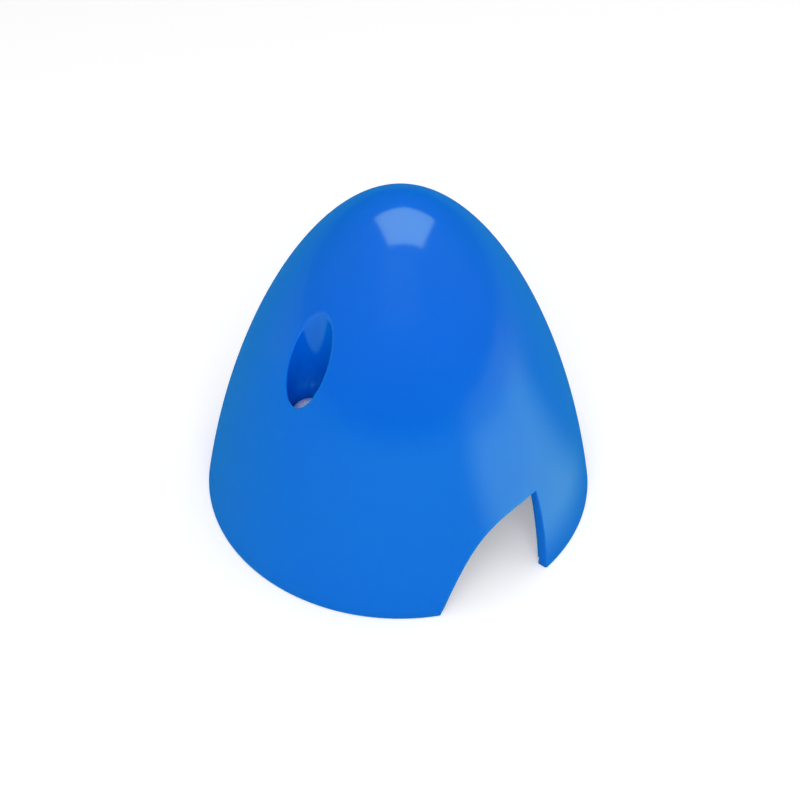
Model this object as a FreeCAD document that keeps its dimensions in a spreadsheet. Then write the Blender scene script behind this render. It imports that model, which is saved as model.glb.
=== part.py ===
import FreeCAD
import Part
import Sketcher
import math
import os

# A two-blade propeller spinner: a moulded nose cone with two blade cut-outs and two deep
# screw wells, and the two pan-head screws that stand in the wells.
# Frame: millimetres, origin at the centre of the base, +Z to the nose, and the blades
# leave along +X and -X. Angles are in degrees, turned about +Z from +X.

SIZES = {
    # nose cone, outside: one conic from the rim to the nose
    "base_radius": 28.5,
    "nose_height": 53.0,
    "outer_lean": 8.75,
    "outer_fullness": 0.7226,
    "rim_round": 0.25,
    # nose cone, inside: a short register for the backplate, three straight tapers and a dome
    "rim_wall": 1.6,
    "register_depth": 1.2,
    "register_step": 0.2,
    "first_taper": 9.8,
    "first_taper_top": 14.0,
    "second_taper": 19.7,
    "second_taper_top": 30.0,
    "dome_radius": 12.0,
    "dome_edge_angle": 29.2,
    "nose_wall": 2.0,
    # blade cut-out, seen square on: it sweeps up on one side and drops on the other
    "slot_height": 14.2,
    "slot_foot_angle": 18.8,
    "slot_sweep": 24.6,
    "sweep_fullness": 1.63,
    "slot_steep_angle": 17.9,
    "slot_bow": 0.6,
    # screw wells, and the posts and webs under them
    "well_offset": 17.6,
    "well_angle": -75.5,
    "well_radius": 3.15,
    "well_wall": 1.4,
    "seat_height": 24.1,
    "seat_thickness": 1.8,
    "post_foot": 9.0,
    "post_wall": 1.5,
    "web_foot": 12.0,
    "web_thickness": 1.2,
    # M3 pan-head screws with a cross recess
    "thread_diameter": 3.0,
    "hole_clearance": 0.15,
    "screw_length": 20.0,
    "tip_chamfer": 0.5,
    "head_diameter": 5.6,
    "head_height": 2.4,
    "head_round": 1.6,
    "recess_width": 3.0,
    "wing_width": 0.9,
    "recess_depth": 1.5,
    "recess_floor": 1.2,
    "wing_floor": 0.5,
    "first_screw_turn": 20.0,
    "second_screw_turn": 65.0,
}

BLADES = 2
SCREWS = 2
RECESS_WINGS = 4
HOLE_RADIUS = "(sizes.thread_diameter / 2 + sizes.hole_clearance)"
WELL_TURN = "sizes.well_angle * 1deg"

doc = FreeCAD.newDocument("propeller_spinner")


def make_sheet():
    sheet = doc.addObject("Spreadsheet::Sheet", "sizes")
    for row, (alias, value) in enumerate(SIZES.items(), start=1):
        sheet.set("A%d" % row, alias)
        sheet.set("B%d" % row, str(value))
        sheet.setAlias("B%d" % row, alias)
    doc.recompute()


def origin_part(body, role):
    return [item for item in body.Origin.OriginFeatures if item.Role == role][0]


def new_sketch(body, name, role, height=None, turn=None):
    """A sketch on one of the body's own planes, raised by height and turned by turn."""
    sketch = body.newObject("Sketcher::SketchObject", name)
    sketch.AttachmentSupport = [(origin_part(body, role), "")]
    sketch.MapMode = "FlatFace"
    if height:
        sketch.setExpression("AttachmentOffset.Base.z", height)
    if turn:
        about_normal = FreeCAD.Rotation(FreeCAD.Vector(0, 0, 1), 1)
        sketch.AttachmentOffset = FreeCAD.Placement(FreeCAD.Vector(), about_normal)
        sketch.setExpression("AttachmentOffset.Rotation.Angle", turn)
    return sketch


def number(sketch, text):
    """What an expression of the sheet comes to."""
    value = sketch.evalExpression(text)
    return float(getattr(value, "Value", value))


def point(sketch, place):
    return FreeCAD.Vector(number(sketch, place[0]), number(sketch, place[1]), 0)


def bind(sketch, kind, places, text):
    """One dimension of a sketch, held by an expression of the sheet."""
    index = sketch.addConstraint(Sketcher.Constraint(kind, *places, number(sketch, text)))
    sketch.setExpression("Constraints[%d]" % index, text)


def pin_point(sketch, geometry, end, place):
    bind(sketch, "DistanceX", (-1, 1, geometry, end), place[0])
    bind(sketch, "DistanceY", (-1, 1, geometry, end), place[1])


def add_conic(sketch, start, bend, stop, fullness):
    """A conic from start to stop: bend is where the tangents at its ends meet."""
    poles = [point(sketch, place) for place in (start, bend, stop)]
    weights = ["1", fullness, "1"]
    values = [number(sketch, text) for text in weights]
    curve = Part.BSplineCurve()
    curve.buildFromPolesMultsKnots(poles, [3, 3], [0, 1], False, 2, values)
    conic = sketch.addGeometry(curve, False)
    for index, pole in enumerate(poles):
        ring = Part.Circle(pole, FreeCAD.Vector(0, 0, 1), values[index])
        handle = sketch.addGeometry(ring, True)
        link = "InternalAlignment:Sketcher::BSplineControlPoint"
        sketch.addConstraint(Sketcher.Constraint(link, handle, 3, conic, index))
        bind(sketch, "Weight", (handle,), weights[index])
        if index == 1:
            pin_point(sketch, handle, 3, bend)
    return conic


def add_arc(sketch, start, centre, stop, radius):
    """An arc from start to stop, counterclockwise about its centre."""
    middle = point(sketch, centre)
    ends = [point(sketch, place) - middle for place in (start, stop)]
    angles = [math.atan2(end.y, end.x) for end in ends]
    circle = Part.Circle(middle, FreeCAD.Vector(0, 0, 1), number(sketch, radius))
    arc = sketch.addGeometry(Part.ArcOfCircle(circle, *angles), False)
    bind(sketch, "Radius", (arc,), radius)
    return arc


def add_outline(sketch, corners, curves=None):
    """A closed outline through the corners, each held by its two expressions.

    curves holds the curved sides, by the number of the corner that each starts from: what
    draws it, its bend or centre, and its fullness or radius. The other sides are straight.
    """
    sides = []
    for index, start in enumerate(corners):
        stop = corners[(index + 1) % len(corners)]
        if curves and index in curves:
            draw, middle, amount = curves[index]
            sides.append(draw(sketch, start, middle, stop, amount))
        else:
            line = Part.LineSegment(point(sketch, start), point(sketch, stop))
            sides.append(sketch.addGeometry(line, False))
    for index, corner in enumerate(corners):
        sketch.addConstraint(Sketcher.Constraint("Coincident", sides[index - 1], 2, sides[index], 1))
        pin_point(sketch, sides[index], 1, corner)


def add_circle(sketch, centre_x, radius):
    """A circle centred on the sketch's X axis."""
    circle = Part.Circle(point(sketch, (centre_x, "0")), FreeCAD.Vector(0, 0, 1), number(sketch, radius))
    index = sketch.addGeometry(circle, False)
    pin_point(sketch, index, 3, (centre_x, "0"))
    bind(sketch, "Radius", (index,), radius)


def revolve(body, name, sketch):
    turned = body.newObject("PartDesign::Revolution", name)
    turned.Profile = sketch
    turned.ReferenceAxis = (sketch, ["V_Axis"])
    turned.Angle = 360
    doc.recompute()


def cut_with(body, kind, name, sketch, **settings):
    """Adds a cutting feature, and stops if it takes nothing away."""
    before = body.Shape.Volume
    cut = body.newObject(kind, name)
    cut.Profile = sketch
    for key, value in settings.items():
        setattr(cut, key, value)
    doc.recompute()
    if not body.Shape.Volume < before:
        raise RuntimeError("%s takes nothing away" % name)
    return cut


def pocket_up(body, name, sketch):
    """Cuts from the sketch's plane upwards, through all that is above it."""
    return cut_with(body, "PartDesign::Pocket", name, sketch, Type="ThroughAll", Reversed=True)


def repeat_round(body, name, features, count):
    pattern = body.newObject("PartDesign::PolarPattern", name)
    pattern.Originals = features
    pattern.Axis = (origin_part(body, "Z_Axis"), [""])
    pattern.Angle = 360
    pattern.Occurrences = count
    body.Tip = pattern
    doc.recompute()


def taper_end(start, bottom, top, taper):
    """The radius at the top of a straight taper."""
    return "(%s - (%s - %s) * tan(%s * 1deg))" % (start, top, bottom, taper)


def make_core():
    """The inside of the cone as a solid: the moulding core, with the posts and webs cut into it."""
    body = doc.addObject("PartDesign::Body", "cone_core")
    land = "(sizes.base_radius - sizes.rim_wall)"
    top = "(sizes.nose_height - sizes.nose_wall)"
    first = "(%s - sizes.register_step)" % land
    second = taper_end(first, "sizes.register_depth", "sizes.first_taper_top", "sizes.first_taper")
    third = taper_end(second, "sizes.first_taper_top", "sizes.second_taper_top", "sizes.second_taper")
    dome_centre = ("0", "%s - sizes.dome_radius" % top)
    dome_edge = (
        "sizes.dome_radius * cos(sizes.dome_edge_angle * 1deg)",
        "%s + sizes.dome_radius * sin(sizes.dome_edge_angle * 1deg)" % dome_centre[1],
    )
    corners = [
        ("0", "-sizes.register_depth"),
        (land, "-sizes.register_depth"),
        (land, "sizes.register_depth"),
        (first, "sizes.register_depth"),
        (second, "sizes.first_taper_top"),
        (third, "sizes.second_taper_top"),
        dome_edge,
        ("0", top),
    ]
    section = new_sketch(body, "core_section", "XZ_Plane")
    add_outline(section, corners, {6: (add_arc, dome_centre, "sizes.dome_radius")})
    revolve(body, "core_form", section)

    post = new_sketch(body, "post_outline", "XY_Plane", "sizes.post_foot", WELL_TURN)
    add_circle(post, "sizes.well_offset", "%s + sizes.post_wall" % HOLE_RADIUS)
    tube = new_sketch(body, "tube_outline", "XY_Plane", "sizes.seat_height - sizes.seat_thickness", WELL_TURN)
    add_circle(tube, "sizes.well_offset", "sizes.well_radius + sizes.well_wall")
    web = new_sketch(body, "web_outline", "XY_Plane", "sizes.web_foot", WELL_TURN)
    half = "sizes.web_thickness / 2"
    corners = [
        ("sizes.well_offset", "-%s" % half),
        ("sizes.base_radius", "-%s" % half),
        ("sizes.base_radius", half),
        ("sizes.well_offset", half),
    ]
    add_outline(web, corners)
    outlines = (("post", post), ("tube", tube), ("web", web))
    repeat_round(body, "both_posts", [pocket_up(body, name, sketch) for name, sketch in outlines], SCREWS)
    return body


def slot_section(body, name, station, bow):
    """The blade cut-out's outline in a plane across the blade, at a distance from the axis.

    Widths grow in step with the distance, so the cut faces point at the axis.
    """
    foot = "-%s * tan(sizes.slot_foot_angle * 1deg)" % station
    steep = "%s * tan(sizes.slot_steep_angle * 1deg)" % station
    sweep = "%s / sizes.base_radius * sizes.slot_height * tan(sizes.slot_sweep * 1deg)" % station
    below = "-sizes.rim_wall"
    corners = [
        (foot, below),
        (foot, "0"),
        (steep, "sizes.slot_height"),
        (steep, "0"),
        (steep, below),
    ]
    crown = ("%s + %s" % (foot, sweep), "sizes.slot_height")
    belly = ("%s + 2 * %s" % (steep, bow), "sizes.slot_height / 2")
    sketch = new_sketch(body, name, "YZ_Plane", station)
    add_outline(sketch, corners, {1: (add_conic, crown, "sizes.sweep_fullness"), 2: (add_conic, belly, "1")})
    return sketch


def cut_slots(body):
    inner = slot_section(body, "slot_inner", "(sizes.well_offset)", "0")
    outer = slot_section(body, "slot_outer", "(sizes.base_radius + sizes.rim_wall)", "sizes.slot_bow")
    slot = cut_with(
        body, "PartDesign::SubtractiveLoft", "blade_slot", inner, Sections=[outer], Ruled=True
    )
    repeat_round(body, "blade_slots", [slot], BLADES)


def cut_wells(body):
    well = new_sketch(body, "well_outline", "XY_Plane", "sizes.seat_height", WELL_TURN)
    add_circle(well, "sizes.well_offset", "sizes.well_radius")
    hole = new_sketch(body, "hole_outline", "XY_Plane", turn=WELL_TURN)
    add_circle(hole, "sizes.well_offset", HOLE_RADIUS)
    outlines = (("well", well), ("screw_hole", hole))
    repeat_round(body, "screw_wells", [pocket_up(body, name, sketch) for name, sketch in outlines], SCREWS)


def make_cone():
    """The moulded cone: a turned outside, less the core, the blade cut-outs and the wells."""
    core = make_core()
    body = doc.addObject("PartDesign::Body", "spinner_cone")
    lean = "sizes.outer_lean * 1deg"
    rim = "sizes.base_radius - sizes.rim_round * (1 + sin(%s)) / cos(%s)" % (lean, lean)
    corners = [
        ("0", "0"),
        (rim, "0"),
        ("%s + sizes.rim_round * cos(%s)" % (rim, lean), "sizes.rim_round * (1 + sin(%s))" % lean),
        ("0", "sizes.nose_height"),
    ]
    bend = ("sizes.base_radius - sizes.nose_height * tan(%s)" % lean, "sizes.nose_height")
    curves = {
        1: (add_arc, (rim, "sizes.rim_round"), "sizes.rim_round"),
        2: (add_conic, bend, "sizes.outer_fullness"),
    }
    section = new_sketch(body, "cone_section", "XZ_Plane")
    add_outline(section, corners, curves)
    revolve(body, "cone_form", section)
    before = body.Shape.Volume
    hollow = body.newObject("PartDesign::Boolean", "hollow")
    hollow.Type = "Cut"
    hollow.setObjects([core])
    doc.recompute()
    if not body.Shape.Volume < before:
        raise RuntimeError("the core takes nothing away")
    cut_slots(body)
    cut_wells(body)
    return body


def wing_section(body, name, height, reach, width):
    """One wing of the cross recess at one depth: a rectangle that starts on the screw's axis."""
    half = "%s / 2" % width
    corners = [("0", "-%s" % half), (reach, "-%s" % half), (reach, half), ("0", half)]
    sketch = new_sketch(body, name, "XY_Plane", height)
    add_outline(sketch, corners)
    return sketch


def make_screw(name, turn, place_angle):
    """A pan-head screw with its seat at the height of its own origin, standing in its well."""
    body = doc.addObject("PartDesign::Body", name)
    thread = "sizes.thread_diameter / 2"
    head = "sizes.head_diameter / 2"
    corners = [
        ("0", "-sizes.screw_length"),
        ("%s - sizes.tip_chamfer" % thread, "-sizes.screw_length"),
        (thread, "sizes.tip_chamfer - sizes.screw_length"),
        (thread, "0"),
        (head, "0"),
        (head, "sizes.head_height - sizes.head_round"),
        ("%s - sizes.head_round" % head, "sizes.head_height"),
        ("0", "sizes.head_height"),
    ]
    shoulder = ("%s - sizes.head_round" % head, "sizes.head_height - sizes.head_round")
    section = new_sketch(body, name + "_section", "XZ_Plane")
    add_outline(section, corners, {5: (add_arc, shoulder, "sizes.head_round")})
    revolve(body, name + "_form", section)
    mouth = wing_section(
        body, name + "_mouth", "sizes.head_height", "sizes.recess_width / 2", "sizes.wing_width"
    )
    floor = wing_section(
        body,
        name + "_floor",
        "sizes.head_height - sizes.recess_depth",
        "sizes.recess_floor / 2",
        "sizes.wing_floor",
    )
    wing = cut_with(
        body, "PartDesign::SubtractiveLoft", name + "_wing", mouth, Sections=[floor], Ruled=True
    )
    repeat_round(body, name + "_recess", [wing], RECESS_WINGS)
    about_axis = FreeCAD.Rotation(FreeCAD.Vector(0, 0, 1), 1)
    body.Placement = FreeCAD.Placement(FreeCAD.Vector(), about_axis)
    body.setExpression("Placement.Base.x", "sizes.well_offset * cos(%s)" % place_angle)
    body.setExpression("Placement.Base.y", "sizes.well_offset * sin(%s)" % place_angle)
    body.setExpression("Placement.Base.z", "sizes.seat_height")
    body.setExpression("Placement.Rotation.Angle", "%s * 1deg" % turn)
    return body


def check(pieces):
    """Stops on any feature that failed or any piece that isn't one sound solid."""
    doc.recompute()
    for item in doc.Objects:
        if "Invalid" in item.State or "Error" in item.State:
            raise RuntimeError("%s failed" % item.Name)
    for piece in pieces:
        if piece.Shape.isNull() or not piece.Shape.isValid() or len(piece.Shape.Solids) != 1:
            raise RuntimeError("%s is not one sound solid" % piece.Label)


make_sheet()
pieces = [make_cone()]
for count, turn in enumerate(("sizes.first_screw_turn", "sizes.second_screw_turn")):
    well_angle = "(sizes.well_angle * 1deg + %d * 360deg / %d)" % (count, SCREWS)
    pieces.append(make_screw("screw_%d" % (count + 1), turn, well_angle))
check(pieces)
os.makedirs("parts", exist_ok=True)
for piece in pieces:
    piece.Shape.exportStep("parts/%s.step" % piece.Label)
    print(piece.Label, round(piece.Shape.Volume, 1), "mm3")
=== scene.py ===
import bpy
import bmesh
import math
import numpy as np
from mathutils import Matrix, Vector


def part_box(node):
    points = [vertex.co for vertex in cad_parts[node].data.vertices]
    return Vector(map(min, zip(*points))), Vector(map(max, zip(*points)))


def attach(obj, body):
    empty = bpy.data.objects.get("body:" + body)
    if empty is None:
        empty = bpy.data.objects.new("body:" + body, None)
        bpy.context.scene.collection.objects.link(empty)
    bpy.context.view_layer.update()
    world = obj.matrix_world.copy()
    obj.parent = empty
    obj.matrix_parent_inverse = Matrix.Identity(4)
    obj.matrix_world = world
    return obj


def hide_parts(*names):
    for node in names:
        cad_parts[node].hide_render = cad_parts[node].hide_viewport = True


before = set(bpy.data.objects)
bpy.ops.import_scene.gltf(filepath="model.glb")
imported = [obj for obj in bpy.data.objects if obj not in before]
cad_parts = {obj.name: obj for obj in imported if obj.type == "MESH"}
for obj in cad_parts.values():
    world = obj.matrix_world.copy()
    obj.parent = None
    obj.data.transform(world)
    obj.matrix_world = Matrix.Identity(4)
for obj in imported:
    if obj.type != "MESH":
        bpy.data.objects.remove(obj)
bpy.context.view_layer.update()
print("frame loaded:", sorted(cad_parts))

# Shapes are worked out in millimetres and degrees; finishTree brings them to metres.
millimetre = 0.001
fullTurn = 2 * math.pi
mergeGap = 0.0005  # mm, closes the seam and the poles of a turned shape
farAbove = 60.0  # mm, past the nose, where the upright cutting tools end
halvings = 36  # steps of a search by halves
tools = []  # helper objects that only cut other shapes


# geometry helpers

def conicPoints(start, bend, stop, fullness, count):
    points = []
    for step in range(count + 1):
        t = step / count
        shares = ((1 - t) ** 2, 2 * t * (1 - t) * fullness, t ** 2)
        total = sum(shares)
        points.append(tuple(
            sum(share * place[axis] for share, place in zip(shares, (start, bend, stop))) / total
            for axis in (0, 1)))
    return points


def arcPoints(centre, radius, fromAngle, toAngle, count):
    points = []
    for step in range(count + 1):
        angle = math.radians(fromAngle + (toAngle - fromAngle) * step / count)
        points.append((centre[0] + radius * math.cos(angle), centre[1] + radius * math.sin(angle)))
    return points


def fillStraights(points, longest):
    # extra points on straight runs, so that shading stays where the shape turns
    filled = [points[0]]
    for start, stop in zip(points, points[1:]):
        parts = max(1, math.ceil(math.dist(start, stop) / longest))
        for part in range(1, parts + 1):
            t = part / parts
            filled.append(tuple(a + (b - a) * t for a, b in zip(start, stop)))
    return filled


def newMeshObject(name, points, edges, faces):
    mesh = bpy.data.meshes.new(name)
    mesh.from_pydata(points, edges, faces)
    mesh.update()
    made = bpy.data.objects.new(name, mesh)
    bpy.context.scene.collection.objects.link(made)
    return made


def profileObject(name, points):
    # the turned section as a chain of points: x is the radius, z the height
    chain = [(x, 0.0, z) for x, z in points]
    return newMeshObject(name, chain, [(n, n + 1) for n in range(len(chain) - 1)], [])


def ringSolid(name, rings):
    # a closed solid through rings of the same number of points
    count = len(rings[0])
    points = [place for ring in rings for place in ring]
    faces = [tuple(range(count)), tuple(range((len(rings) - 1) * count, len(rings) * count))]
    for row in range(len(rings) - 1):
        low, high = row * count, (row + 1) * count
        for n in range(count):
            m = (n + 1) % count
            faces.append((low + n, low + m, high + m, high + n))
    made = newMeshObject(name, points, [], faces)
    work = bmesh.new()
    work.from_mesh(made.data)
    bmesh.ops.recalc_face_normals(work, faces=work.faces)
    if work.calc_volume(signed=True) < 0:
        bmesh.ops.reverse_faces(work, faces=work.faces)
    work.to_mesh(made.data)
    work.free()
    tools.append(made)
    return made


# node tree helpers

def newTree(name, inputs):
    tree = bpy.data.node_groups.new(name, "GeometryNodeTree")
    tree.interface.new_socket("Geometry", in_out="INPUT", socket_type="NodeSocketGeometry")
    for label, kind in inputs:
        tree.interface.new_socket(label, in_out="INPUT", socket_type="NodeSocket" + kind)
    tree.interface.new_socket("Geometry", in_out="OUTPUT", socket_type="NodeSocketGeometry")
    start = tree.nodes.new("NodeGroupInput")
    end = tree.nodes.new("NodeGroupOutput")
    return tree, start.outputs, end.inputs[0]


def plug(tree, socket, value):
    if isinstance(value, bpy.types.NodeSocket):
        tree.links.new(value, socket)
    else:
        socket.default_value = value


def addNode(tree, kind, inputs=None, **settings):
    # a list of values goes into one socket that takes several links
    node = tree.nodes.new(kind)
    for key, value in settings.items():
        setattr(node, key, value)
    for key, value in (inputs or {}).items():
        for item in value if isinstance(value, list) else [value]:
            plug(tree, node.inputs[key], item)
    return node


def calc(tree, operation, first, second=0.0, third=0.0):
    node = addNode(tree, "ShaderNodeMath", {0: first, 1: second, 2: third}, operation=operation)
    return node.outputs[0]


def remap(tree, value, source, target=(0.0, 1.0), curve="LINEAR"):
    # one range of values brought to another, and held at its ends
    return addNode(tree, "ShaderNodeMapRange", {
        "Value": value, "From Min": source[0], "From Max": source[1],
        "To Min": target[0], "To Max": target[1]}, interpolation_type=curve).outputs[0]


def mixedColour(tree, share, first, second):
    node = addNode(tree, "ShaderNodeMix", {"Factor": share, 6: first, 7: second}, data_type="RGBA")
    return node.outputs[2]


def turnedShape(tree, profile, around, bulge=None):
    # turns a section about Z: a grid of its points by the angles, closed at the seam and poles
    size = addNode(tree, "GeometryNodeAttributeDomainSize", {0: profile}, component="MESH")
    columns = calc(tree, "ADD", around, 1)
    grid = addNode(tree, "GeometryNodeMeshGrid", {
        "Size X": 1.0, "Size Y": 1.0,
        "Vertices X": size.outputs["Point Count"], "Vertices Y": columns})
    index = addNode(tree, "GeometryNodeInputIndex").outputs[0]
    middle = calc(tree, "ADD", index, 0.5)  # half a step on, so that rounding down is safe
    row = calc(tree, "FLOOR", calc(tree, "DIVIDE", middle, columns))
    column = calc(tree, "SUBTRACT", index, calc(tree, "MULTIPLY", row, columns))
    angle = calc(tree, "MULTIPLY", calc(tree, "DIVIDE", column, around), fullTurn)
    place = addNode(tree, "GeometryNodeInputPosition").outputs[0]
    section = addNode(
        tree, "GeometryNodeSampleIndex", {"Geometry": profile, "Value": place, "Index": row},
        data_type="FLOAT_VECTOR", domain="POINT")
    parts = addNode(tree, "ShaderNodeSeparateXYZ", {0: section.outputs["Value"]}).outputs
    radius, height = parts["X"], parts["Z"]
    if bulge:
        radius = bulge(radius, height, angle)
    spot = addNode(tree, "ShaderNodeCombineXYZ", {
        "X": calc(tree, "MULTIPLY", radius, calc(tree, "COSINE", angle)),
        "Y": calc(tree, "MULTIPLY", radius, calc(tree, "SINE", angle)),
        "Z": height}).outputs[0]
    placed = addNode(tree, "GeometryNodeSetPosition", {
        "Geometry": grid.outputs["Mesh"], "Position": spot}).outputs[0]
    closed = addNode(tree, "GeometryNodeMergeByDistance", {"Geometry": placed, "Distance": mergeGap})
    return addNode(tree, "GeometryNodeFlipFaces", {0: closed.outputs[0]}).outputs[0]


def repeatAround(tree, shape, count, firstAngle):
    # copies of a tool at even turns about Z
    line = addNode(tree, "GeometryNodeMeshLine", {"Count": count, "Offset": (0.0, 0.0, 0.0)})
    index = addNode(tree, "GeometryNodeInputIndex").outputs[0]
    turn = calc(tree, "MULTIPLY", calc(tree, "DIVIDE", index, count), fullTurn)
    facing = addNode(tree, "ShaderNodeCombineXYZ", {
        "Z": calc(tree, "ADD", turn, firstAngle)}).outputs[0]
    copies = addNode(tree, "GeometryNodeInstanceOnPoints", {
        "Points": line.outputs[0], "Instance": shape, "Rotation": facing})
    return addNode(tree, "GeometryNodeRealizeInstances", {0: copies.outputs[0]}).outputs[0]


def cutAway(tree, shape, cutters):
    return addNode(tree, "GeometryNodeMeshBoolean", {"Mesh 1": shape, "Mesh 2": cutters},
                   operation="DIFFERENCE", solver="MANIFOLD").outputs["Mesh"]


def objectShape(tree, source):
    return addNode(tree, "GeometryNodeObjectInfo", {"Object": source}).outputs["Geometry"]


def finishTree(tree, shape, output, material):
    shrunk = addNode(tree, "GeometryNodeTransform", {"Geometry": shape, "Scale": (millimetre,) * 3})
    whole = addNode(tree, "GeometryNodeRealizeInstances", {0: shrunk.outputs[0]})
    coated = addNode(tree, "GeometryNodeSetMaterial", {
        "Geometry": whole.outputs[0], "Material": material})
    plug(tree, output, coated.outputs[0])


def applyTree(piece, tree, values, sharpAngle):
    # sets the inputs by their identifiers, then keeps only the plain mesh
    modifier = piece.modifiers.new("shape", "NODES")
    modifier.node_group = tree
    sockets = [item for item in tree.interface.items_tree if item.in_out == "INPUT"]
    identifiers = {item.name: item.identifier for item in sockets}
    for label, value in values.items():
        modifier[identifiers[label]] = value
    shaped = piece.evaluated_get(bpy.context.evaluated_depsgraph_get())
    mesh = bpy.data.meshes.new_from_object(shaped)
    mesh.name = piece.name
    piece.modifiers.clear()
    piece.data = mesh
    mesh.shade_smooth()
    mesh.set_sharp_from_angle(angle=math.radians(sharpAngle))


def keepInside(piece, node):
    # no point passes the extents of the solid that the piece stands for
    low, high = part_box(node)
    for vertex in piece.data.vertices:
        vertex.co = [
            min(max(value, least), most) for value, least, most in zip(vertex.co, low, high)]


def plainMaterial(name):
    material = bpy.data.materials.new(name)
    material.use_nodes = True
    return material


conePlastic = plainMaterial("glossBluePlastic")
screwSteel = plainMaterial("zincPlatedSteel")


# the moulded cone

cone = {
    "baseRadius": 28.5, "noseHeight": 53.0, "lean": 8.75, "fullness": 0.7226, "rimRound": 0.25,
    "landRadius": 26.9, "landTop": 1.2, "innerFoot": 26.7,
    "firstTop": (24.4895, 14.0), "secondTop": (18.7615, 30.0),
    "domeCentre": 39.0, "domeRadius": 12.0, "domeEdge": 29.2,
    "coreFoot": -1.5,  # the core runs out below the rim
    "underside": 4.0,  # a ring on the underside, this far in from the rim
    "around": 256, "rows": 150, "rimSteps": 6, "domeSteps": 24, "longestStep": 1.5, "sharpAngle": 35,
}


def outerSection():
    lean = math.radians(cone["lean"])
    edge = cone["rimRound"]
    rim = cone["baseRadius"] - edge * (1 + math.sin(lean)) / math.cos(lean)
    rounding = arcPoints((rim, edge), edge, -90, cone["lean"], cone["rimSteps"])
    bend = (cone["baseRadius"] - cone["noseHeight"] * math.tan(lean), cone["noseHeight"])
    nose = (0.0, cone["noseHeight"])
    flank = conicPoints(rounding[-1], bend, nose, cone["fullness"], cone["rows"])
    return [(0.0, 0.0), (rim - cone["underside"], 0.0)] + rounding + flank[1:]


outerPoints = outerSection()
flankLine = np.array(outerPoints[2:])


def coreSection():
    foot, land, top = cone["coreFoot"], cone["landRadius"], cone["landTop"]
    points = [(0.0, foot), (land, foot), (land, top), (cone["innerFoot"], top),
              cone["firstTop"], cone["secondTop"]]
    centre = (0.0, cone["domeCentre"])
    dome = arcPoints(centre, cone["domeRadius"], cone["domeEdge"], 90, cone["domeSteps"])
    dome[-1] = (0.0, dome[-1][1])
    return fillStraights(points + dome[:1], cone["longestStep"]) + dome[1:]


def outerDepth(radius, height):
    # how far a point lies under the outer skin, less than nothing outside
    ends = flankLine[1:] - flankLine[:-1]
    gaps = np.array([radius, height]) - flankLine[:-1]
    along = np.clip((gaps * ends).sum(1) / (ends * ends).sum(1), 0, 1)
    offs = gaps - along[:, None] * ends
    nearest = int(np.argmin((offs * offs).sum(1)))
    side = ends[nearest][0] * offs[nearest][1] - ends[nearest][1] * offs[nearest][0]
    return math.copysign(math.hypot(*offs[nearest]), side)


def flareSteps(radius):
    # (how far the cut widens, how deep that is) from the full cut out to a rounded edge
    turns = [math.radians(angle) for angle in (0, 20, 40, 60, 75)]
    return [(radius * (1 - math.cos(turn)), radius * (1 - math.sin(turn))) for turn in turns]


def solveDepth(placeAt, low, high, depth):
    # the value between low and high at which placeAt lies that deep under the skin
    for _ in range(halvings):
        middle = (low + high) / 2
        x, y, z = placeAt(middle)
        if outerDepth(math.hypot(x, y), z) > depth:
            low = middle
        else:
            high = middle
    return low


bladeSlot = {
    "height": 14.2, "footAngle": 18.8, "sweep": 24.6, "sweepFullness": 1.63, "steepAngle": 17.9,
    "bow": 0.6, "bowFullness": 1.0, "edgeRound": 0.22, "below": -1.6,
    "count": 2, "innerStation": 17.6, "outerStation": 30.1,
    "innerMargin": 2.0, "outerMargin": 3.0,  # how far the tool runs past the wall
    "searchFrom": 20.0, "lowest": 0.05, "sweepSteps": 44, "sideSteps": 16,
}


def slotOutline(station, widen):
    # the cut-out in a plane across the blade, widened by the same amount all round
    size = bladeSlot
    height = size["height"]
    foot = -station * math.tan(math.radians(size["footAngle"]))
    steep = station * math.tan(math.radians(size["steepAngle"]))
    reach = station / cone["baseRadius"] * height * math.tan(math.radians(size["sweep"]))
    share = (station - size["innerStation"]) / (size["outerStation"] - size["innerStation"])
    bow = size["bow"] * share
    sweep = conicPoints((foot, 0.0), (foot + reach, height), (steep, height),
                        size["sweepFullness"], size["sweepSteps"])
    side = conicPoints((steep, height), (steep + 2 * bow, height / 2), (steep, 0.0),
                       size["bowFullness"], size["sideSteps"])
    points = [(foot, size["below"])] + sweep + side[1:] + [(steep, size["below"])]
    if not widen:
        return points
    moved = []
    for n, here in enumerate(points):
        before, after = points[max(n - 1, 0)], points[min(n + 1, len(points) - 1)]
        sides = [(a, b) for a, b in ((before, here), (here, after)) if a != b]
        normals = [Vector((a[1] - b[1], b[0] - a[0])).normalized() for a, b in sides]
        outward = sum(normals, Vector((0.0, 0.0)))
        outward *= len(normals) / outward.length_squared  # keeps the width at a corner
        moved.append((here[0] + outward.x * widen, here[1] + outward.y * widen))
    return moved


def makeSlotTool():
    size = bladeSlot
    inner = size["innerStation"] - size["innerMargin"]
    rings = [[(inner, y, z) for y, z in slotOutline(inner, 0.0)]]
    count = len(rings[0])
    for widen, depth in flareSteps(size["edgeRound"]):
        ring = []
        for n in range(count):
            def placeAt(station, n=n, widen=widen):
                y, z = slotOutline(station, widen)[n]
                return station, y, max(z, size["lowest"])
            station = solveDepth(placeAt, size["searchFrom"], size["outerStation"], depth)
            ring.append((station, *slotOutline(station, widen)[n]))
        rings.append(ring)
    last = []
    for x, y, z in rings[-1]:
        outer = x + size["outerMargin"]
        last.append((outer, y * outer / x, z))
    rings.append(last)
    return ringSolid("slotTool", rings)


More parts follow.
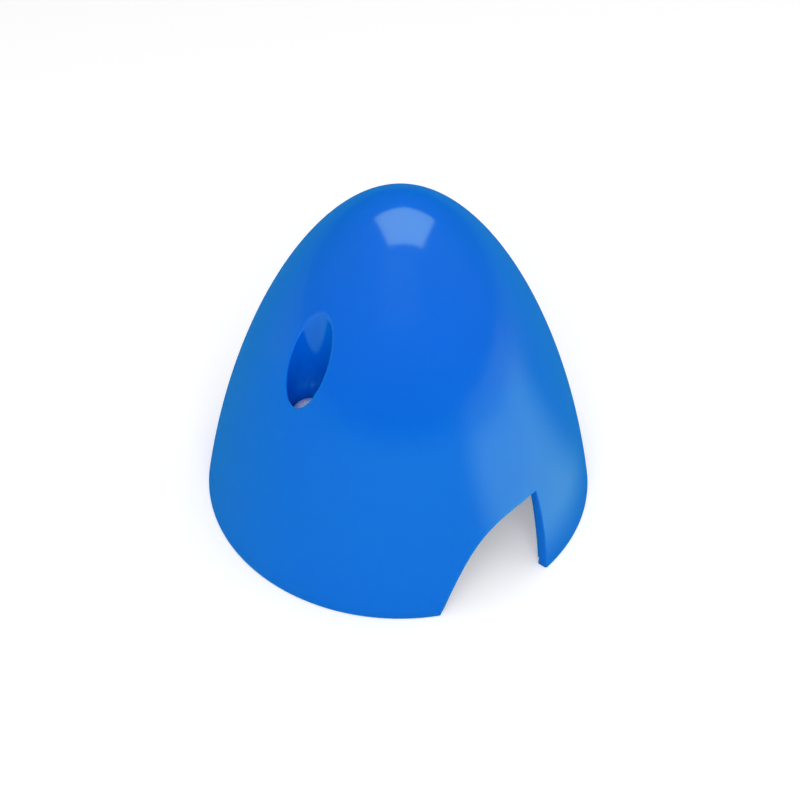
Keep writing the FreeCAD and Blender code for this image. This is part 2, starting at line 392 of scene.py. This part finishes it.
well = {
    "count": 2, "offset": 17.6, "angle": -75.5, "radius": 3.15, "wall": 1.4,
    "seat": 24.1, "seatThickness": 1.8, "searchFrom": 24.0,
    "holeRadius": 1.65, "holeFoot": 5.0, "postFoot": 9.0, "postRadius": 3.15,
    "webFoot": 12.0, "webThickness": 1.2, "webReach": 30.0,
    "edgeRound": 0.28, "mouthSpread": 0.8, "mouthLift": 4.0,  # how the tool opens out above the skin
    "around": 96, "postAround": 72, "holeAround": 48,
}


def roundRing(radius, height, count):
    angles = [fullTurn * n / count for n in range(count)]
    return [(well["offset"] + radius * math.cos(a), radius * math.sin(a), height) for a in angles]


def makeWellTool():
    size = well
    rings = [roundRing(size["radius"], size["seat"], size["around"])]
    for widen, depth in flareSteps(size["edgeRound"]):
        ring = []
        for x, y, _ in roundRing(size["radius"] + widen, 0.0, size["around"]):
            height = solveDepth(lambda z: (x, y, z), size["searchFrom"], farAbove, depth)
            ring.append((x, y, height))
        rings.append(ring)
    spread = size["mouthSpread"]
    rings.append([(x + (x - size["offset"]) * spread, y * (1 + spread), z + size["mouthLift"])
                  for x, y, z in rings[-1]])
    return ringSolid("wellTool", rings)


def makeTube(name, radius, foot, count):
    return ringSolid(name, [roundRing(radius, foot, count), roundRing(radius, farAbove, count)])


def makeWeb():
    half = well["webThickness"] / 2
    near, far = well["offset"], well["webReach"]
    corners = [(near, -half), (far, -half), (far, half), (near, half)]
    return ringSolid("webTool", [[(x, y, z) for x, y in corners] for z in (well["webFoot"], farAbove)])


coneTree, given, result = newTree("turnedCone", [
    ("Around", "Int"), ("Core", "Object"), ("Blades", "Int"), ("Blade slot", "Object"),
    ("Wells", "Int"), ("Well angle", "Float"), ("Well", "Object"), ("Hole", "Object"),
    ("Post", "Object"), ("Seat tube", "Object"), ("Web", "Object"), ("Material", "Material")])


def aroundCone(labels, count, firstAngle):
    # each named tool, repeated about the axis of the cone
    shapes = [objectShape(coneTree, given[label]) for label in labels]
    return [repeatAround(coneTree, shape, count, firstAngle) for shape in shapes]


outerSolid = turnedShape(coneTree, given["Geometry"], given["Around"])
coreSolid = turnedShape(coneTree, objectShape(coneTree, given["Core"]), given["Around"])
standing = aroundCone(("Post", "Seat tube", "Web"), given["Wells"], given["Well angle"])
coreShape = cutAway(coneTree, coreSolid, standing)
openings = aroundCone(("Blade slot",), given["Blades"], 0.0)
openings += aroundCone(("Well", "Hole"), given["Wells"], given["Well angle"])
moulded = cutAway(coneTree, outerSolid, [coreShape] + openings)
finishTree(coneTree, moulded, result, given["Material"])

coneShell = profileObject("coneShell", outerPoints)
coreProfile = profileObject("coreProfile", coreSection())
tools.append(coreProfile)
seatFoot = well["seat"] - well["seatThickness"]
applyTree(coneShell, coneTree, {
    "Around": cone["around"], "Core": coreProfile,
    "Blades": bladeSlot["count"], "Blade slot": makeSlotTool(),
    "Wells": well["count"], "Well angle": math.radians(well["angle"]), "Well": makeWellTool(),
    "Hole": makeTube("holeTool", well["holeRadius"], well["holeFoot"], well["holeAround"]),
    "Post": makeTube("postTool", well["postRadius"], well["postFoot"], well["postAround"]),
    "Seat tube": makeTube("seatTool", well["radius"] + well["wall"], seatFoot, well["around"]),
    "Web": makeWeb(), "Material": conePlastic}, cone["sharpAngle"])
keepInside(coneShell, "spinner_cone")
print("cone shell:", len(coneShell.data.polygons), "faces")


# the two screws

screw = {
    "threadRadius": 1.5, "length": 20.0, "tipChamfer": 0.5,
    "headRadius": 2.8, "headHeight": 2.4, "headRound": 1.6, "seatEdge": 0.08,
    "pitch": 0.5, "threadDepth": 0.3, "crest": 0.14, "runOut": 0.4, "fade": (-2.0, -1.0),
    "headFrom": -0.1, "headClear": 10.0,  # above the first, the thread is wider than the head
    "rowsPerPitch": 8, "around": 40, "seatSteps": 3, "crownSteps": 14, "sharpAngle": 30,
    "wings": 4, "wingReach": 1.5, "wingWidth": 0.9, "wingTaper": 0.8, "turns": (20.0, 65.0),
    "recessDepth": 1.5, "floorReach": 0.6, "floorWidth": 0.5,
    # height above the head's top, extra reach, extra half width
    "mouth": ((-0.06, -0.03, -0.01), (0.02, 0.06, 0.07), (0.5, 0.5, 0.5)),
}


def screwSection():
    size = screw
    radius, head, tip = size["threadRadius"], size["headRadius"], -size["length"]
    chamfer, edge = size["tipChamfer"], size["seatEdge"]
    shank = [(0.0, tip), (radius - chamfer, tip), (radius, tip + chamfer), (radius, 0.0)]
    seat = arcPoints((head - edge, edge), edge, -90, 0, size["seatSteps"])
    centre = (head - size["headRound"], size["headHeight"] - size["headRound"])
    crown = arcPoints(centre, size["headRound"], 0, 90, size["crownSteps"])
    finest = size["pitch"] / size["rowsPerPitch"]
    return fillStraights(shank, finest) + seat + crown + [(0.0, size["headHeight"])]


def makeWingTool():
    # one wing of the cross recess, narrow at its floor and broken at its mouth
    size = screw
    top = size["headHeight"]
    stations = [(top - size["recessDepth"], size["floorReach"], size["floorWidth"] / 2)]
    for rise, further, wider in size["mouth"]:
        stations.append((top + rise, size["wingReach"] + further, size["wingWidth"] / 2 + wider))
    rings = []
    for height, reach, half in stations:
        end = half * size["wingTaper"]
        corners = ((0.0, -half), (reach, -end), (reach, end), (0.0, half))
        rings.append([(x, y, height) for x, y in corners])
    return ringSolid("wingTool", rings)


screwTree, given, result = newTree("threadedScrew", [
    ("Around", "Int"), ("Thread radius", "Float"), ("Pitch", "Float"), ("Thread depth", "Float"),
    ("Run-out", "Float"), ("Wings", "Int"), ("Wing", "Object"), ("Turn", "Vector"), ("Place", "Vector"),
    ("Material", "Material")])


def threadRadiusAt(radius, height, angle):
    # the helix: how far round and along a point is, as a share of one pitch
    tree = screwTree
    along = calc(tree, "DIVIDE", height, given["Pitch"])
    share = calc(tree, "FRACT", calc(tree, "SUBTRACT", along, calc(tree, "DIVIDE", angle, fullTurn)))
    ridge = calc(tree, "ABSOLUTE", calc(tree, "MULTIPLY_ADD", share, 2.0, -1.0))
    groove = remap(tree, ridge, (screw["crest"], 1 - screw["crest"]))
    fadeEnds = [calc(tree, "MULTIPLY", given["Run-out"], times) for times in screw["fade"]]
    fade = remap(tree, height, fadeEnds, (1.0, 0.0))
    depth = calc(tree, "MULTIPLY", calc(tree, "MULTIPLY", groove, fade), given["Thread depth"])
    thread = calc(tree, "SUBTRACT", given["Thread radius"], depth)
    inHead = calc(tree, "GREATER_THAN", height, screw["headFrom"])
    clear = calc(tree, "MULTIPLY", inHead, screw["headClear"])
    return calc(tree, "MINIMUM", radius, calc(tree, "ADD", thread, clear))


turned = turnedShape(screwTree, given["Geometry"], given["Around"], threadRadiusAt)
wings = repeatAround(screwTree, objectShape(screwTree, given["Wing"]), given["Wings"], 0.0)
driven = cutAway(screwTree, turned, [wings])
upright = addNode(screwTree, "GeometryNodeTransform", {
    "Geometry": driven, "Translation": given["Place"], "Rotation": given["Turn"]}).outputs[0]
finishTree(screwTree, upright, result, given["Material"])

wingTool = makeWingTool()
screwPieces = []
for number, name in enumerate(("screwFront", "screwBack"), start=1):
    low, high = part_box("screw_%d" % number)
    middle = (low + high) / 2 / millimetre
    piece = profileObject(name, screwSection())
    applyTree(piece, screwTree, {
        "Around": screw["around"], "Thread radius": screw["threadRadius"], "Pitch": screw["pitch"],
        "Thread depth": screw["threadDepth"], "Run-out": screw["runOut"], "Wings": screw["wings"],
        "Wing": wingTool, "Turn": (0.0, 0.0, math.radians(screw["turns"][number - 1])),
        "Place": (middle.x, middle.y, low.z / millimetre + screw["length"]),
        "Material": screwSteel}, screw["sharpAngle"])
    keepInside(piece, "screw_%d" % number)
    screwPieces.append(piece)
    print("screw:", name, len(piece.data.polygons), "faces")

for tool in tools:
    bpy.data.objects.remove(tool)


# what both finishes share

grainMix = {
    "broadDetail": 3.0, "fineDetail": 5.0, "broadShare": 0.6, "fineShare": 0.4, "spread": (0.35, 0.65),
}
grainGroup = bpy.data.node_groups.new("surfaceGrain", "ShaderNodeTree")
for label, kind in (("Vector", "NodeSocketVector"), ("Scale", "NodeSocketFloat"),
                    ("Detail scale", "NodeSocketFloat"), ("Smooth", "NodeSocketFloat"),
                    ("Rough", "NodeSocketFloat")):
    grainGroup.interface.new_socket(label, in_out="INPUT", socket_type=kind)
for label in ("Roughness", "Tone", "Height"):
    grainGroup.interface.new_socket(label, in_out="OUTPUT", socket_type="NodeSocketFloat")
inside = grainGroup.nodes.new("NodeGroupInput").outputs
outside = grainGroup.nodes.new("NodeGroupOutput").inputs
broad = addNode(grainGroup, "ShaderNodeTexNoise", {
    "Vector": inside["Vector"], "Scale": inside["Scale"],
    "Detail": grainMix["broadDetail"]}).outputs[0]
fine = addNode(grainGroup, "ShaderNodeTexNoise", {
    "Vector": inside["Vector"], "Scale": inside["Detail scale"],
    "Detail": grainMix["fineDetail"]}).outputs[0]
broadPart = calc(grainGroup, "MULTIPLY", broad, grainMix["broadShare"])
blend = calc(grainGroup, "MULTIPLY_ADD", fine, grainMix["fineShare"], broadPart)
spread = remap(grainGroup, blend, grainMix["spread"], (inside["Smooth"], inside["Rough"]))
plug(grainGroup, outside["Roughness"], spread)
plug(grainGroup, outside["Tone"], broad)
plug(grainGroup, outside["Height"], fine)


def grainyFinish(material, finish):
    # colour, roughness and bump that change over the surface, fed to the material's own shader
    tree = material.node_tree
    vector = addNode(tree, "ShaderNodeTexCoord").outputs["Object"]
    grain = addNode(tree, "ShaderNodeGroup", {
        "Vector": vector, "Scale": finish["grainScale"], "Detail scale": finish["fineScale"],
        "Smooth": finish["smooth"], "Rough": finish["rough"]}, node_tree=grainGroup).outputs
    bump = addNode(tree, "ShaderNodeBump", {
        "Strength": finish["bump"], "Distance": finish["bumpDepth"],
        "Height": grain["Height"]}).outputs[0]
    shader = tree.nodes["Principled BSDF"]
    colour = mixedColour(tree, grain["Tone"], finish["deep"], finish["light"])
    plug(tree, shader.inputs["Base Color"], colour)
    plug(tree, shader.inputs["Roughness"], grain["Roughness"])
    plug(tree, shader.inputs["Normal"], bump)
    return tree, shader, vector, grain["Roughness"], bump


plastic = {
    "deep": (0.0, 0.128, 0.71, 1), "light": (0.0, 0.144, 0.75, 1),
    "grainScale": 38.0, "fineScale": 900.0,
    "smooth": 0.11, "rough": 0.17, "bump": 0.02, "bumpDepth": 0.0002,
    # glossNose and glossFlank: a painted highlight tint, whiter gloss on the nose where the overhead
    # highlight lies, greener lower down and where the surface turns away
    "glossNose": (0.62, 1.0, 0.35, 1), "glossFlank": (0.2, 1.0, 0.5, 1),
    "noseToFlank": (0.048, 0.030), "aslant": (0.2, 0.6),  # heights in m, and shares of facing away
    "glossShare": (0.04, 0.08), "edgeOn": (0.3, 1.0),
    "depth": 0.35, "depthScale": 0.004, "depthRadius": (0.25, 0.7, 1.0),
}
tree, shader, vector, roughness, bump = grainyFinish(conePlastic, plastic)
shader.inputs["Specular IOR Level"].default_value = 0.0
shader.inputs["Subsurface Weight"].default_value = plastic["depth"]
shader.inputs["Subsurface Radius"].default_value = plastic["depthRadius"]
shader.inputs["Subsurface Scale"].default_value = plastic["depthScale"]
facing = addNode(tree, "ShaderNodeLayerWeight", {"Blend": 0.5}).outputs["Facing"]
# painted highlight tint: the gloss colour is set by height and facing, not by any change in the plastic
height = addNode(tree, "ShaderNodeSeparateXYZ", {0: vector}).outputs["Z"]
lowDown = remap(tree, height, plastic["noseToFlank"])
onFlank = calc(tree, "MAXIMUM", lowDown, remap(tree, facing, plastic["aslant"]))
paintedHighlightTint = mixedColour(tree, onFlank, plastic["glossNose"], plastic["glossFlank"])
gloss = addNode(tree, "ShaderNodeBsdfGlossy", {"Color": paintedHighlightTint, "Roughness": roughness, "Normal": bump})
glossShare = remap(tree, facing, plastic["edgeOn"], plastic["glossShare"])
skin = addNode(tree, "ShaderNodeMixShader", {0: glossShare, 1: shader.outputs[0], 2: gloss.outputs[0]})
plug(tree, tree.nodes["Material Output"].inputs["Surface"], skin.outputs[0])

steel = {
    "deep": (0.74, 0.74, 0.74, 1), "light": (0.92, 0.91, 0.90, 1),
    "grainScale": 700.0, "fineScale": 5200.0,
    "smooth": 0.26, "rough": 0.42, "bump": 0.08, "bumpDepth": 0.00005, "metal": 0.55,
}
steelShader = grainyFinish(screwSteel, steel)[1]
steelShader.inputs["Metallic"].default_value = steel["metal"]
print("finishes made")


# floor, sky and lamps

studio = {
    "floorSize": 12.0, "floorColour": (0.85, 0.85, 0.85, 1), "lift": 0.3, "sky": 0.42,
    # the glow keys below set a glowing floor patch that is a painted reflection on the cone's flank,
    # seen only in gloss
    "paintedGlowColour": (1.0, 0.42, 0.4, 1), "paintedGlow": 5.2,
    "paintedGlowFrom": (3, 22), "paintedGlowTo": (48, 76),  # degrees round the cone
    "paintedGlowNear": (0.028, 0.038), "paintedGlowFar": (0.11, 0.34), "paintedGlowFaded": 0.3,
}
lamps = {
    "overhead": {
        "place": (0.048, 0.036, 0.546), "size": (0.586, 0.566),
        "across": (0.46, 0.885, -0.076), "back": (-0.522, 0.338, 0.783),
        "radiance": 0.95, "lights": True, "mirrored": False},
    "sheen": {
        "place": (0.0466, 0.0349, 0.531), "size": (0.568, 0.549),
        "across": (0.46, 0.885, -0.076), "back": (-0.522, 0.338, 0.783),
        "radiance": 3.8, "lights": False, "mirrored": True},
    "front": {
        "place": (0.285, -0.187, 0.366), "size": (0.34, 0.32),
        "across": (0.549, 0.836, 0.0), "back": (0.571, -0.374, 0.731),
        "radiance": 3.3, "lights": True, "mirrored": False},
    "side": {
        "place": (0.16, 0.26, 0.15), "size": (0.22, 0.20),
        "across": (0.85, -0.52, 0.0), "back": (0.5, 0.8, 0.45),
        "radiance": 0.5, "lights": True, "mirrored": False},
}


def paintedGlowPatch(tree, strength):
    # painted reflection: a patch of the floor that glows, seen only in gloss, beside the cone, shaped
    # by its bearing and its distance from the middle
    spot = addNode(tree, "ShaderNodeTexCoord").outputs["Object"]
    sides = addNode(tree, "ShaderNodeSeparateXYZ", {0: spot}).outputs
    bearing = calc(tree, "MULTIPLY", calc(tree, "ARCTAN2", sides["Y"], sides["X"]), 180 / math.pi)
    reach = addNode(tree, "ShaderNodeVectorMath", {0: spot}, operation="LENGTH").outputs["Value"]
    fades = (
        (bearing, studio["paintedGlowFrom"], (0.0, 1.0)), (bearing, studio["paintedGlowTo"], (1.0, 0.0)),
        (reach, studio["paintedGlowNear"], (0.0, 1.0)),
        (reach, studio["paintedGlowFar"], (1.0, studio["paintedGlowFaded"])))
    for value, limits, target in fades:
        fade = remap(tree, value, limits, target, "SMOOTHSTEP")
        strength = calc(tree, "MULTIPLY", strength, fade)
    return addNode(tree, "ShaderNodeEmission", {
        "Color": studio["paintedGlowColour"], "Strength": strength}).outputs[0]


floorMaterial = plainMaterial("whiteFloor")
tree = floorMaterial.node_tree
tree.nodes.remove(tree.nodes["Principled BSDF"])
paper = addNode(tree, "ShaderNodeBsdfDiffuse", {"Color": studio["floorColour"]}).outputs[0]
seen = addNode(tree, "ShaderNodeLightPath").outputs
looked = calc(tree, "MAXIMUM", seen["Is Camera Ray"], seen["Is Glossy Ray"])
direct = calc(tree, "MAXIMUM", looked, seen["Is Transmission Ray"])
lift = calc(tree, "MULTIPLY", direct, studio["lift"])
glow = addNode(tree, "ShaderNodeEmission", {"Strength": lift}).outputs[0]
# painted reflection: the floor patch glows only for glossy rays, so it shows only as a bright
# reflection on the cone
inGloss = calc(tree, "MULTIPLY", seen["Is Glossy Ray"], studio["paintedGlow"])  # only gloss shows it
paintedGlow = paintedGlowPatch(tree, inGloss)
white = addNode(tree, "ShaderNodeAddShader", {0: paper, 1: glow}).outputs[0]
lit = addNode(tree, "ShaderNodeAddShader", {0: white, 1: paintedGlow}).outputs[0]
plug(tree, tree.nodes["Material Output"].inputs["Surface"], lit)
half = studio["floorSize"] / 2
floorCorners = [(-half, -half, 0), (half, -half, 0), (half, half, 0), (-half, half, 0)]
floor = newMeshObject("floor", floorCorners, [], [(0, 1, 2, 3)])
floor.data.materials.append(floorMaterial)

world = bpy.data.worlds.new("studio")
bpy.context.scene.world = world
world.use_nodes = True
background = world.node_tree.nodes["Background"]
background.inputs["Color"].default_value = (1, 1, 1, 1)
background.inputs["Strength"].default_value = studio["sky"]


def addSoftLamp(name, setting):
    # a flat soft light: across is its local X, back the way that it faces away from
    lamp = bpy.data.lights.new(name, "AREA")
    lamp.shape = "RECTANGLE"
    lamp.size, lamp.size_y = setting["size"]
    lamp.energy = setting["radiance"] * math.pi * lamp.size * lamp.size_y
    back = Vector(setting["back"]).normalized()
    across = Vector(setting["across"])
    across = (across - back * across.dot(back)).normalized()
    made = bpy.data.objects.new(name, lamp)
    made.location = setting["place"]
    made.rotation_euler = Matrix((across, back.cross(across), back)).transposed().to_euler()
    made.visible_camera = False
    made.visible_diffuse = setting["lights"]
    made.visible_glossy = setting["mirrored"]
    bpy.context.scene.collection.objects.link(made)


for name, setting in lamps.items():
    addSoftLamp(name + "Lamp", setting)
print("studio made")


# camera

view = {
    "distance": 0.342, "turn": -31.5, "rise": 46.05, "roll": 0.58, "lens": 102.17, "sensor": 36.0,
    "shift": (0.0021, 0.0939), "nearest": 0.01,
}
cameraData = bpy.data.cameras.new("camera")
cameraData.lens = view["lens"]
cameraData.sensor_width = view["sensor"]
cameraData.shift_x, cameraData.shift_y = view["shift"]
cameraData.clip_start = view["nearest"]
camera = bpy.data.objects.new("camera", cameraData)
turnAngle, rise = math.radians(view["turn"]), math.radians(view["rise"])
level = math.cos(rise)
towards = Vector((math.cos(turnAngle) * level, math.sin(turnAngle) * level, math.sin(rise)))
camera.location = towards * view["distance"]
straight = (-towards).to_track_quat("-Z", "Y").to_matrix().to_4x4()
camera.rotation_euler = (straight @ Matrix.Rotation(math.radians(view["roll"]), 4, "Z")).to_euler()
bpy.context.scene.collection.objects.link(camera)
bpy.context.scene.camera = camera
bpy.context.scene.view_settings.view_transform = "Standard"


# what each piece stands for

pieces = ((coneShell, "spinner_cone", "cone_plastic"), (screwPieces[0], "screw_1", "screw_steel"),
          (screwPieces[1], "screw_2", "screw_steel"))
for piece, node, slot in pieces:
    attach(piece, "root")
    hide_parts(node)

print("pieces placed")
